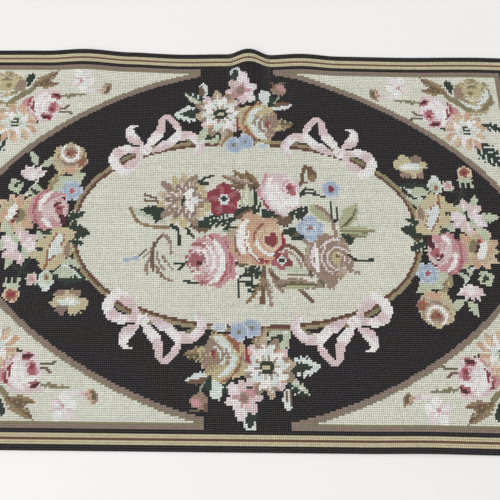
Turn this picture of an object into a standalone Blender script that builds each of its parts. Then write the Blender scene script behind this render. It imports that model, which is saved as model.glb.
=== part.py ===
"""Needlepoint tapestry panel, three feet by two, lying flat as it does in use.

The panel is one piece of canvas worked all over in wool, its margins turned under as
the hem, so it is one solid: a thin sheet, a little out of square, with a fold line across
its middle and a few puckers along its long edges.

Metres, +Z up, +X along the rows of stitches. The origin is under the middle of the panel,
on the surface that it lies on.
"""

import math
from collections import namedtuple

import bpy
from mathutils import Vector

# The sizes that the rest follows from
LENGTH = 0.9144  # along the rows of stitches
WIDTH = 0.6096  # up the columns of stitches
THICKNESS = 0.0030  # wool stitches on their canvas, pressed flat
LEAN = math.radians(2.7)  # slanting stitches pull the columns out of square
EDGE_ROUND = 0.0008  # the roll of the turned edge

END = LENGTH / 2
EDGE = WIDTH / 2

WOOL_COLOUR = (0.19, 0.16, 0.13, 1.0)
WOOL_ROUGHNESS = 0.92

# A pucker is a soft rise of the cloth round one place, which also pushes it in its own plane.
# along and up are from the panel's middle, before it leans; push is along +Y.
Pucker = namedtuple("Pucker", "name along up reach_along reach_up rise push")
PUCKERS = (
    Pucker("fold at the far edge", 0.015, EDGE, 0.036, 0.130, 0.0095, 0.0042),
    Pucker("fold line", 0.000, 0.060, 0.020, 0.330, 0.0012, 0.0),
    Pucker("left ripple", -0.251, EDGE, 0.070, 0.110, 0.0036, 0.0020),
    Pucker("hollow beside it", -0.100, EDGE, 0.085, 0.100, 0.0, -0.0024),
    Pucker("drawn-in left end", -0.430, EDGE, 0.120, 0.120, 0.0, -0.0022),
    Pucker("right ripple", 0.103, EDGE, 0.060, 0.090, 0.0022, 0.0022),
    Pucker("slack right end", 0.400, EDGE, 0.150, 0.120, 0.0020, 0.0016),
    Pucker("near edge, drawn in", 0.235, -EDGE, 0.085, 0.090, 0.0016, 0.0012),
    Pucker("near right corner", 0.450, -EDGE, 0.150, 0.120, 0.0, -0.0030),
)

# The solid's grid is finer where the cloth rises
Stretch = namedtuple("Stretch", "start end cells")
ALONG = (
    Stretch(-END, -0.330, 6),
    Stretch(-0.330, -0.170, 9),
    Stretch(-0.170, -0.035, 6),
    Stretch(-0.035, 0.055, 14),
    Stretch(0.055, 0.160, 6),
    Stretch(0.160, END, 14),
)
UP = (
    Stretch(-EDGE, -0.190, 5),
    Stretch(-0.190, 0.150, 11),
    Stretch(0.150, EDGE, 11),
)


def empty_scene():
    for obj in list(bpy.data.objects):
        bpy.data.objects.remove(obj)


def wool_material():
    material = bpy.data.materials.new("wool")
    material.use_nodes = True
    shader = material.node_tree.nodes["Principled BSDF"]
    shader.inputs["Base Color"].default_value = WOOL_COLOUR
    shader.inputs["Roughness"].default_value = WOOL_ROUGHNESS
    shader.inputs["Metallic"].default_value = 0.0
    material.diffuse_color = WOOL_COLOUR
    return material


def stations(stretches):
    """Where the grid's lines lie, from one edge of the panel to the other."""
    places = [stretches[0].start]
    for stretch in stretches:
        step = (stretch.end - stretch.start) / stretch.cells
        places += [stretch.start + step * (n + 1) for n in range(stretch.cells)]
    return places


def swell(pucker, along, up):
    """How much of the pucker is felt here, from 0 outside its reach to 1 at its middle."""
    away = math.hypot(
        (along - pucker.along) / pucker.reach_along,
        (up - pucker.up) / pucker.reach_up,
    )
    return 0.5 + 0.5 * math.cos(math.pi * min(away, 1.0))


def lie(along, up):
    """The place of a point of the cloth's underside, as it lies."""
    push = sum(p.push * swell(p, along, up) for p in PUCKERS)
    rise = sum(p.rise * swell(p, along, up) for p in PUCKERS)
    return Vector((along - up * math.tan(LEAN), up + push, rise))


def needlepoint_panel():
    """The worked canvas with its turned edge, laid over its puckers and given its thickness."""
    along, up = stations(ALONG), stations(UP)
    columns, rows = len(along) - 1, len(up) - 1
    bpy.ops.mesh.primitive_grid_add(x_subdivisions=columns, y_subdivisions=rows, size=2)
    panel = bpy.context.object
    panel.name = "needlepoint_panel"
    for point in panel.data.vertices:
        column = round((point.co.x + 1) / 2 * columns)
        row = round((point.co.y + 1) / 2 * rows)
        point.co = lie(along[column], up[row])
    stand_on_origin(panel.data)
    panel.data.materials.append(wool_material())

    thick = panel.modifiers.new("cloth", "SOLIDIFY")
    thick.thickness = THICKNESS
    thick.offset = 1
    rolled = panel.modifiers.new("turned edge", "BEVEL")
    rolled.width = EDGE_ROUND
    rolled.segments = 1
    rolled.limit_method = "ANGLE"
    rolled.angle_limit = math.radians(60)
    return panel


def stand_on_origin(mesh):
    """Moves the cloth so that the middle of the floor under it is the origin."""
    xs = [point.co.x for point in mesh.vertices]
    ys = [point.co.y for point in mesh.vertices]
    middle = Vector(((min(xs) + max(xs)) / 2, (min(ys) + max(ys)) / 2, 0))
    for point in mesh.vertices:
        point.co -= middle


def collect(parts):
    """Puts the parts in a collection named for the object."""
    collection = bpy.data.collections.new("tapestry_panel")
    bpy.context.scene.collection.children.link(collection)
    for part in parts:
        for holder in list(part.users_collection):
            holder.objects.unlink(part)
        collection.objects.link(part)


empty_scene()
collect([needlepoint_panel()])
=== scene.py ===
"""Needlepoint tapestry panel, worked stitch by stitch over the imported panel.

The design is a chart of 324 by 216 stitches, drawn here by formula: a striped border, cream
corners with flower sprays, a dark oval with four bouquets, and a cream medallion with ribbon
bows and a bouquet. Each stitch of the chart then becomes its own slanting stitch of wool on
the canvas, which lies over the same puckers as the solid.
"""

import math
from collections import namedtuple

import bpy
import numpy as np
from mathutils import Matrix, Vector


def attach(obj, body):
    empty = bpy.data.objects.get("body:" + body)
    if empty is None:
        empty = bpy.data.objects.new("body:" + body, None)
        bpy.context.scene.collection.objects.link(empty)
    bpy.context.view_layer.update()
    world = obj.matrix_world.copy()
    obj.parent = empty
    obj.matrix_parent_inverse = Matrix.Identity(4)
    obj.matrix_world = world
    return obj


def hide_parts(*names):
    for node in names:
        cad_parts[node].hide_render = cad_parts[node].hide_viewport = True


# The panel, in metres and stitches
LENGTH = 0.9144
WIDTH = 0.6096
COLUMNS = 324
ROWS = 216
STITCH = LENGTH / COLUMNS
LEAN = math.radians(2.7)

# The wools, as they look in daylight
YARNS = {
    "night": (28, 27, 33),
    "cream": (229, 230, 217),
    "mauve": (152, 134, 122),
    "olive": (146, 139, 108),
    "sand": (168, 156, 124),
    "straw": (212, 202, 168),
    "cocoa": (112, 76, 62),
    "white": (248, 247, 245),
    "ice": (230, 238, 234),
    "mint": (204, 213, 190),
    "celery": (190, 193, 158),
    "sage": (156, 168, 148),
    "forest": (44, 62, 52),
    "moss": (114, 108, 80),
    "lilac": (240, 230, 234),
    "shell": (229, 210, 211),
    "rose": (211, 164, 168),
    "deep rose": (182, 112, 118),
    "crimson": (152, 64, 78),
    "burgundy": (92, 38, 50),
    "rust": (164, 110, 90),
    "apricot": (215, 181, 155),
    "peach": (229, 208, 182),
    "gold": (208, 196, 156),
    "ochre": (158, 136, 104),
    "umber": (124, 100, 80),
    "taupe": (166, 144, 128),
    "fawn": (200, 183, 162),
    "sky": (178, 195, 214),
    "powder": (208, 219, 230),
}
NAMES = list(YARNS)

# The parts of the design that are worked in turn, each of them one mesh
PARTS = (
    "border",
    "corner ground",
    "dark ground",
    "medallion ground",
    "corner sprays",
    "bouquets",
    "centre bouquet",
    "ribbons",
)


FAR = 1e9  # more stitches than any distance on the chart
GRAIN_SEED = 7


class Chart:
    """One yarn and one part of the design for each stitch, counted from the middle."""

    def __init__(self):
        up, across = np.mgrid[0:ROWS, 0:COLUMNS].astype(float)
        self.across = across + 0.5 - COLUMNS / 2
        self.up = up + 0.5 - ROWS / 2
        self.yarn = np.zeros((ROWS, COLUMNS), int)
        self.part = np.zeros((ROWS, COLUMNS), int)
        self.grain = np.random.default_rng(GRAIN_SEED).random((ROWS, COLUMNS))


class Spray:
    """The chart seen through one of its mirrors, so that what is drawn once falls in each place."""

    def __init__(self, chart, part, flip_across=False, flip_up=False, middle=(0, 0)):
        self.chart = chart
        self.part = PARTS.index(part)
        self.across = (chart.across - middle[0]) * (-1 if flip_across else 1)
        self.up = (chart.up - middle[1]) * (-1 if flip_up else 1)
        self.grain = chart.grain

    def work(self, where, yarn):
        self.chart.yarn[where] = NAMES.index(yarn)
        self.chart.part[where] = self.part

    def shade(self, where, yarns, level):
        """Works from the first yarn to the last as level goes from 0 to 1, hatched where they meet."""
        step = level * len(yarns) + 0.8 * (self.grain - 0.5)
        step = np.clip(step, 0, len(yarns) - 1).astype(int)
        for n, yarn in enumerate(yarns):
            self.work(where & (step == n), yarn)

    def around(self, across, up, size, turn, squash=1.0):
        """Where each stitch is from a point: x the turned way and y to the left of it, in sizes."""
        dx, dy = (self.across - across) / size, (self.up - up) / size / squash
        c, s = math.cos(math.radians(turn)), math.sin(math.radians(turn))
        return dx * c + dy * s, dy * c - dx * s


def smooth(points, steps=6):
    """Points along a smooth curve through the given ones, which may have more columns than two."""
    p = np.array(points, float)
    p = np.vstack((2 * p[0] - p[1], p, 2 * p[-1] - p[-2]))
    t = (np.arange(steps) / steps)[:, None]
    spans = [
        0.5
        * (
            2 * b
            + (c - a) * t
            + (2 * a - 5 * b + 4 * c - d) * t**2
            + (3 * b - a - 3 * c + d) * t**3
        )
        for a, b, c, d in zip(p, p[1:], p[2:], p[3:])
    ]
    return np.vstack((*spans, p[-2]))


WIDEST = 9  # how far from its curve anything that follows one may reach


def follow(spray, points):
    """How far each stitch is from a curve, on which side, and what the nearest row of it says."""
    route = smooth(points)
    low, high = route[:, :2].min(axis=0) - WIDEST, route[:, :2].max(axis=0) + WIDEST
    beside = (spray.across > low[0]) & (spray.across < high[0])
    beside &= (spray.up > low[1]) & (spray.up < high[1])
    x, y = spray.across[beside], spray.up[beside]
    near = np.full(x.size, FAR)
    side = np.zeros(x.size)
    row = np.zeros((x.size, route.shape[1]))
    for a, b in zip(route, route[1:]):
        way = b[:2] - a[:2]
        t = ((x - a[0]) * way[0] + (y - a[1]) * way[1]) / (way @ way)
        t = np.clip(t, 0, 1)
        off_x, off_y = x - a[0] - t * way[0], y - a[1] - t * way[1]
        far = np.hypot(off_x, off_y)
        closer = far < near
        near[closer] = far[closer]
        side[closer] = np.sign(way[0] * off_y - way[1] * off_x)[closer]
        row[closer] = (a + t[:, None] * (b - a))[closer]
    whole_near = np.full(beside.shape, FAR)
    whole_side = np.zeros(beside.shape)
    whole_row = np.zeros((*beside.shape, route.shape[1]))
    whole_near[beside], whole_side[beside], whole_row[beside] = near, side, row
    return whole_near, whole_side, whole_row


def stem(spray, points, yarn, width=1.3):
    near, _, _ = follow(spray, points)
    spray.work(near < width / 2, yarn)


def fern(spray, points, yarn, barb=3.5, every=2.6, rib=None, width=1.3):
    """A stem with slanting barbs on both sides, shorter towards its tip."""
    rows = np.array(points, float)
    lengths = np.hypot(*np.diff(rows, axis=0).T)
    run = np.concatenate(([0], np.cumsum(lengths)))
    near, side, row = follow(spray, np.column_stack((rows, run)))
    t = row[..., 2] / run[-1]
    reach = barb * np.sqrt(np.clip(1.05 - t, 0, 1)) * np.clip(t * 4 + 0.3, 0, 1)
    phase = (row[..., 2] - 0.9 * near + (side > 0) * every / 2) % every
    spray.work((near < reach) & (phase < every * 0.5) & (t > 0) & (t < 1), yarn)
    spray.work(near < width / 2, rib or yarn)


def leaf(spray, across, up, length, width, turn, upper, teeth, lower=None, vein=None):
    """A toothed leaf from its stalk to its tip, which may have another wool below its rib."""
    x, y = spray.around(across, up, 1.0, turn)
    t = np.clip(x / length, 0, 1)
    tooth = 1 - 0.38 * ((t * teeth) % 1)
    half = width / 2 * np.sin(math.pi * t**0.8) * tooth + 0.25
    inside = (x > -0.5) & (x < length) & (np.abs(y) < half)
    spray.work(inside & (y > 0), upper)
    spray.work(inside & (y <= 0), lower or upper)
    if vein:
        slant = (x - 0.8 * np.abs(y)) % (length / teeth)
        spray.work(inside & (slant < 1.0) & (np.abs(y) > 0.8), vein)


def petals(spray, across, up, size, turn, count, inner, outer, wide, yarns, streak=None, squash=1.0):
    """A ring of pointed petals, their yarns taken in turn, with a lighter streak down each."""
    for n in range(count):
        x, y = spray.around(across, up, 1.0, turn + 360 * n / count, squash)
        length = size * outer * (1 + 0.07 * math.sin(2.3 * n + size))
        t = np.clip((x - size * inner) / (length - size * inner), 0, 1)
        half = size * wide * np.sqrt(np.clip(np.sin(math.pi * (0.12 + 0.88 * t) ** 1.15), 0, 1))
        inside = (x > size * inner) & (x < length) & (np.abs(y) < half)
        spray.work(inside, yarns[n % len(yarns)])
        if streak:
            spray.work(inside & (np.abs(y) < 0.55) & (t > 0.12) & (t < 0.72), streak)


Wool = namedtuple("Wool", "rim body pale light heart deep")
Arc = namedtuple("Arc", "shade ring width middle span")

# Round the heart of a rose: how far out, how wide, and which way from it, in sizes and degrees
FULL_ROSE = (
    Arc("rim", 1.32, 0.08, 184, 30),
    Arc("rim", 1.16, 0.09, 150, 22),
    Arc("light", 0.97, 0.27, 182, 66),
    Arc("pale", 0.80, 0.12, 176, 66),
    Arc("light", 0.66, 0.15, 196, 70),
    Arc("pale", 0.52, 0.10, 180, 90),
    Arc("light", 0.40, 0.13, 215, 60),
    Arc("rim", 0.86, 0.16, 96, 20),
    Arc("rim", 0.62, 0.16, -96, 26),
    Arc("rim", 1.02, 0.10, -116, 16),
    Arc("light", 0.46, 0.10, 60, 40),
    Arc("rim", 0.44, 0.12, 0, 70),
)
SIDE_ROSE = (
    Arc("rim", 1.28, 0.13, 178, 52),
    Arc("rim", 1.12, 0.10, 112, 20),
    Arc("light", 0.98, 0.26, 152, 34),
    Arc("pale", 0.80, 0.22, 200, 38),
    Arc("light", 0.92, 0.26, 226, 20),
    Arc("pale", 0.58, 0.16, 160, 75),
    Arc("deep", 0.60, 0.14, 62, 26),
    Arc("deep", 0.34, 0.12, 130, 40),
    Arc("deep", 0.52, 0.16, -52, 34),
)
WHITE_ROSE = (
    Arc("pale", 1.10, 0.40, 200, 50),
    Arc("rim", 1.30, 0.20, 122, 34),
    Arc("rim", 1.52, 0.14, 166, 16),
    Arc("deep", 1.46, 0.12, 192, 16),
    Arc("rim", 1.42, 0.20, 222, 16),
    Arc("light", 1.00, 0.34, 184, 60),
    Arc("light", 0.74, 0.24, 200, 60),
    Arc("pale", 0.78, 0.14, 172, 46),
    Arc("light", 0.60, 0.14, 215, 66),
    Arc("light", 0.56, 0.40, 262, 40),
    Arc("rim", 0.40, 0.08, 130, 50),
)
PEONY = (
    Arc("deep", 1.04, 0.28, 240, 44),
    Arc("deep", 1.14, 0.08, 150, 40),
    Arc("pale", 1.20, 0.08, 196, 40),
    Arc("light", 0.88, 0.26, 160, 42),
    Arc("light", 0.70, 0.26, 236, 46),
    Arc("light", 0.52, 0.08, 200, 70),
    Arc("pale", 0.42, 0.09, 160, 110),
    Arc("light", 0.30, 0.07, 220, 60),
)
PEACH_ROSE = (
    Arc("light", 1.22, 0.34, 174, 36),
    Arc("rim", 1.44, 0.10, 200, 30),
    Arc("rim", 1.02, 0.07, 214, 46),
    Arc("pale", 1.36, 0.10, 140, 24),
    Arc("light", 0.96, 0.10, 206, 52),
    Arc("body", 0.84, 0.12, 190, 70),
    Arc("rim", 0.70, 0.10, 150, 34),
    Arc("light", 0.60, 0.14, 240, 60),
    Arc("body", 0.46, 0.10, 200, 60),
    Arc("deep", 0.92, 0.16, 250, 22),
    Arc("deep", 0.44, 0.16, -20, 52),
)
RINGED_ROSE = (
    Arc("pale", 1.24, 0.08, 184, 36),
    Arc("light", 1.04, 0.16, 180, 30),
    Arc("body", 0.88, 0.18, 184, 60),
    Arc("light", 0.78, 0.14, 122, 34),
    Arc("light", 0.66, 0.05, 196, 60),
    Arc("body", 0.56, 0.12, 100, 150),
    Arc("light", 0.44, 0.05, 100, 170),
    Arc("body", 0.34, 0.12, 90, 180),
    Arc("light", 0.24, 0.05, 60, 120),
)
CUP_ROSE = (
    Arc("rim", 1.20, 0.20, 226, 22),
    Arc("body", 1.18, 0.20, 180, 40),
    Arc("pale", 0.92, 0.14, 170, 50),
    Arc("rim", 0.74, 0.14, 190, 90),
    Arc("light", 0.48, 0.20, 180, 150),
)


def rose(spray, across, up, size, turn, wool, arcs, squash=1.0, heart=0.55, heart_size=0.24):
    """A rose seen from one side: its heart the turned way and its petals in rings round that."""
    x, y = spray.around(across, up, size, turn)
    y = y / squash
    angle = np.arctan2(y, x)
    rim = 0.93 + 0.07 * np.abs(np.cos(2.5 * angle + size)) + 0.05 * np.cos(7 * angle)
    body = np.hypot(x, y) < rim + 0.10 * (spray.grain - 0.5)
    from_heart = x - heart
    ring = np.hypot(from_heart, y)
    around = np.degrees(np.arctan2(y, from_heart))
    fold = 0.10 * np.cos(np.radians(3 * around)) + 0.5 * (ring - 0.9)
    spray.shade(body, (wool.pale, wool.body, wool.body), 0.5 + fold)
    for arc in arcs:
        off = np.abs((around - arc.middle + 180) % 360 - 180) / arc.span
        thin = arc.width / 2 * np.sqrt(np.clip(1 - off**2, 0, 1)) + 0.05 * (spray.grain - 0.5)
        drawn = (off < 1) & (np.abs(ring - arc.ring) < np.maximum(thin, 0.4 / size))
        spray.work(body & drawn, getattr(wool, arc.shade))
    block = np.hypot(from_heart, 0.9 * y) < heart_size * (1.1 + 0.5 * (spray.grain - 0.5))
    spray.work(block & body, wool.heart)
    spray.work(block & body & (from_heart > 0.5 * heart_size), wool.rim)
    throat = np.hypot(from_heart + 0.3 * heart_size, y - 0.4 * heart_size) < 0.4 * heart_size
    spray.work(body & throat, wool.deep)


def blossom(spray, across, up, size, turn, petals, shades, eye, eye_size=0.22, cut=0.32, squash=1.0):
    """An open flower: shades run from the eye to the petals' tips."""
    x, y = spray.around(across, up, size, turn)
    y = y / squash
    away, angle = np.hypot(x, y), np.arctan2(y, x)
    lobe = np.abs(np.cos(petals * angle / 2))
    rim = 1 - cut + cut * lobe**0.7 + 0.10 * (spray.grain - 0.5)
    spray.shade(away < rim, shades, 0.9 * away / rim - 0.25 * (1 - lobe))
    spray.work(away < eye_size, eye)


def patch(spray, across, up, length, width, turn, yarn, ragged=0.5):
    """A rounded patch of one wool."""
    x, y = spray.around(across, up, 1.0, turn)
    away = np.hypot(2 * x / length, 2 * y / width)
    spray.work(away < 1 + ragged * (spray.grain - 0.5) / min(length, width), yarn)


Bend = namedtuple("Bend", "across up width light")


def ribbon(spray, bends):
    """A silk-pale ribbon: light where a bend says so, and rosier along one edge and in its turns."""
    near, side, row = follow(spray, bends)
    half = row[..., 2] / 2
    level = row[..., 3] + 0.30 * side * near / np.maximum(half, 0.1)
    spray.shade(near < half, ("shell", "shell", "lilac", "white"), level)


PINK = Wool("deep rose", "rose", "shell", "white", "deep rose", "burgundy")
SOFT_PINK = Wool("rose", "shell", "lilac", "white", "deep rose", "crimson")
HONEY = Wool("gold", "gold", "taupe", "ice", "crimson", "rust")
OCHRE = Wool("taupe", "straw", "fawn", "white", "rust", "crimson")
ORANGE = Wool("rust", "apricot", "peach", "white", "crimson", "crimson")
BROWN = Wool("taupe", "taupe", "fawn", "lilac", "gold", "moss")
MOSSY = Wool("olive", "sand", "straw", "ice", "gold", "olive")


def corner_spray(spray):
    # Leaves below the daisy
    leaf(spray, 131, 54.5, 22, 13, -48, "forest", 6, vein="ice")
    leaf(spray, 137, 65.5, 13, 6, -18, "forest", 4, vein="ice")
    leaf(spray, 116, 62.5, 5, 4, 160, "forest", 2, "sage")
    # Stalk and small leaves beside the gold rose
    stem(spray, ((118.5, 83), (122, 80), (127, 77)), "olive", 2.6)
    leaf(spray, 121.5, 85, 9, 3, 108, "forest", 2)
    leaf(spray, 124, 86, 8, 3, 112, "forest", 2, "mint")
    # Two brown leaves
    leaf(spray, 118.5, 84.5, 17.5, 6.4, 145, "umber", 8, "ochre", vein="sand")
    leaf(spray, 116, 84.5, 12.5, 4.4, 170, "ochre", 5, "umber", vein="sand")
    # Gold rose
    rose(spray, 134, 82.5, 11.4, 92, MOSSY, PEONY, 1.0, 0.3, 0.3)
    patch(spray, 125.5, 85, 6, 7, 20, "taupe")
    patch(spray, 126, 77.5, 14, 3.4, -35, "olive", 2)
    # Peach daisy
    petals(spray, 126.3, 61.5, 12.5, 8, 11, 0.2, 1.0, 0.17, ("apricot", "fawn", "peach"), "peach")
    petals(spray, 126.3, 60.3, 10.5, 250, 9, 0.2, 0.95, 0.13, ("white", "ice"))
    for ring in (
        (11.5, 25, 7, 0.3, 1.0, 0.12, ("peach", "apricot")),
        (6.6, 10, 7, 0.0, 1.0, 0.34, ("ice", "white")),
    ):
        petals(spray, 126.3, 61.8, *ring)
    blossom(spray, 126.3, 61.8, 3.4, 10, 6, ("ice", "mint"), "mint", 0.2, 0.35)
    stem(spray, ((125, 64), (127.5, 63.4)), "forest", 1.2)
    stem(spray, ((125.5, 62), (128.4, 61.4)), "forest", 1.2)
    stem(spray, ((126, 59.8), (128, 59.4)), "forest", 1.2)
    # Pale rose, and the petals beside it
    blossom(spray, 119.5, 74, 4.2, 0, 3, ("deep rose", "rose", "rose"), "rose", 0.2)
    patch(spray, 110, 79.6, 15, 6, -6, "shell", 3)
    rose(spray, 111, 71.7, 9.6, 186, SOFT_PINK, WHITE_ROSE, 1.0, 0.5, 0.26)
    patch(spray, 105, 78.2, 6, 3.6, 20, "deep rose", 1.5)
    patch(spray, 109.6, 65.4, 6.6, 3.6, 14, "deep rose", 1.5)
    stem(spray, ((103.5, 78), (106, 79.6)), "burgundy", 1.6)
    stem(spray, ((117.5, 74), (118, 70.5), (116, 68)), "crimson", 1.2)
    stem(spray, ((108, 64.5), (111.5, 65.2)), "burgundy", 1.8)
    # Sprigs
    fern(spray, ((101.5, 78.2), (96, 79.0), (88.5, 79.4)), "olive", 1.6, 3.4, None, 1.0)
    stem(spray, ((102, 70.6), (99.5, 70.9), (98, 72.2)), "umber", 1.2)
    stem(spray, ((102, 68.6), (98.5, 68.8), (96, 67.6)), "moss", 1.2)
    # White blossom
    for ring in (
        (7.0, 54, 5, 0.05, 1.0, 0.36, ("white", "lilac", "white"), "white"),
        (6.4, 18, 5, 0.2, 0.9, 0.09, ("shell", "ice")),
    ):
        petals(spray, 90.3, 88.6, *ring)
    patch(spray, 91, 87.6, 2.4, 2, 0, "rose")
    # Bud on its stalk
    stem(spray, ((80, 82.5), (84, 82), (88, 82.5)), "lilac", 2.0)
    patch(spray, 80.6, 82.3, 4.6, 2.6, 0, "shell", 2)
    patch(spray, 76.6, 83.4, 5, 7.6, 24, "taupe", 1.5)
    patch(spray, 77.6, 83.0, 2.6, 6, 24, "apricot", 1)
    patch(spray, 76.2, 83.2, 1.9, 5, 24, "moss", 0)


def end_bouquet(spray):
    # Leaf at the tip
    leaf(spray, -0.5, 86, 11, 5, 105, "forest", 4)
    stem(spray, ((-3.2, 94.5), (-2.6, 97.6), (0.4, 97.2), (2.2, 93)), "ice", 1.7)
    # Leaves on the daisy's side
    leaf(spray, -5, 79, 12, 7, 20, "forest", 4)
    leaf(spray, 6, 77, 9, 7, 20, "forest", 4)
    leaf(spray, -12, 62, 16, 11, 226, "ice", 4, "mint")
    patch(spray, -15.5, 54.5, 9, 8, 0, "mint")
    leaf(spray, -10, 61, 12, 6, 222, "forest", 4)
    leaf(spray, -4, 61, 14, 7, 240, "ochre", 4, "fawn", vein="straw")
    leaf(spray, -21, 69, 16, 11, 184, "ice", 5)
    leaf(spray, -20, 69, 13, 6, 182, "forest", 4)
    leaf(spray, -19, 75, 14, 7, 148, "mint", 4, "forest", vein="ice")
    # Striped bud
    patch(spray, -19.6, 84, 5, 9.5, 0, "ice")
    patch(spray, -21.2, 83.3, 1.6, 8, 0, "umber", 0)
    patch(spray, -19.4, 82.5, 1.3, 6, 0, "umber", 0)
    # Leaves on the rose's side
    leaf(spray, 17.5, 73.5, 12, 9, 108, "ice", 4, "forest")
    patch(spray, 15.6, 80.4, 6.6, 8, 10, "ice")
    patch(spray, 19.2, 77, 3.6, 8, 8, "forest")
    leaf(spray, 19, 73.5, 12, 6, 12, "umber", 4, "ice")
    leaf(spray, 18, 62.5, 13, 8, 4, "moss", 4, "ochre", vein="fawn")
    # Rosebud
    stem(spray, ((20.5, 76), (22.5, 79), (23.5, 82)), "sage", 1.1)
    patch(spray, 23.5, 85, 8.5, 7.5, 0, "taupe", 1.5)
    patch(spray, 25, 86, 4, 5, 60, "rose")
    stem(spray, ((20, 89.5), (20.5, 86.5)), "umber", 1.6)
    stem(spray, ((27.5, 89.5), (24, 89.3)), "moss", 1.1)
    # Pink blossom
    patch(spray, -1.0, 93.2, 4.2, 7, 0, "forest")
    patch(spray, 3.2, 90.5, 5.2, 6.5, 10, "lilac")
    for turn, length, yarn in (
        (82, 12, "lilac"),
        (130, 10.5, "shell"),
        (180, 9.5, "shell"),
        (20, 9.5, "lilac"),
    ):
        petals(spray, 2, 82.8, length, turn, 1, 0.05, 1.0, 0.28, (yarn,), "white")
    for ring in (
        (9, -37, 1, 0.05, 1.0, 0.34, ("lilac",), "white"),
        (7.6, 60, 5, 0.1, 1.0, 0.3, ("lilac", "shell", "rose", "shell", "lilac")),
        (5.4, 78, 5, 0.1, 1.0, 0.2, ("rose", "shell")),
    ):
        petals(spray, 2, 82.8, *ring)
    blossom(spray, 1.6, 83.2, 3.2, 0, 5, ("mauve", "taupe", "rose"), "mauve", 0.5, 0.2)
    # Great daisy
    for ring in (
        (14.2, 8, 12, 0.3, 1.0, 0.19, ("fawn", "shell", "taupe"), "white"),
        (12.6, 23, 12, 0.3, 0.95, 0.09, ("taupe", "apricot", "fawn")),
        (10.4, 4, 10, 0.1, 1.0, 0.22, ("white", "ice")),
        (9.0, 22, 10, 0.1, 0.95, 0.15, ("white", "ice")),
        (6.6, 4, 10, 0.1, 1.0, 0.11, ("taupe", "taupe", "fawn")),
    ):
        petals(spray, -10.2, 69, *ring)
    blossom(spray, -10.2, 69, 3.6, 0, 6, ("forest", "forest"), "forest", 0.5, 0.15)
    patch(spray, -9.9, 68.9, 4.4, 2.2, 0, "straw", 0)
    # Honey rose
    rose(spray, 11.3, 64.2, 12, -14, HONEY, PEONY, 1.0, 0.44, 0.12)
    patch(spray, 0.2, 62, 3.4, 8, 20, "apricot", 2)
    stem(spray, ((-0.8, 66), (-0.4, 60.5)), "crimson", 1.4)
    # Blue flowers on the medallion's line
    blossom(spray, -3.2, 49.8, 5.2, 0, 5, ("sky", "sky", "powder"), "olive", 0.22, 0.2)
    blossom(spray, 3.2, 51.9, 5.0, 30, 5, ("sky", "sky", "powder"), "olive", 0.20, 0.2)
    blossom(spray, 13.0, 49.7, 4.4, 0, 3, ("powder", "ice"), "powder", 0.2, 0.3, 0.55)


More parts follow.
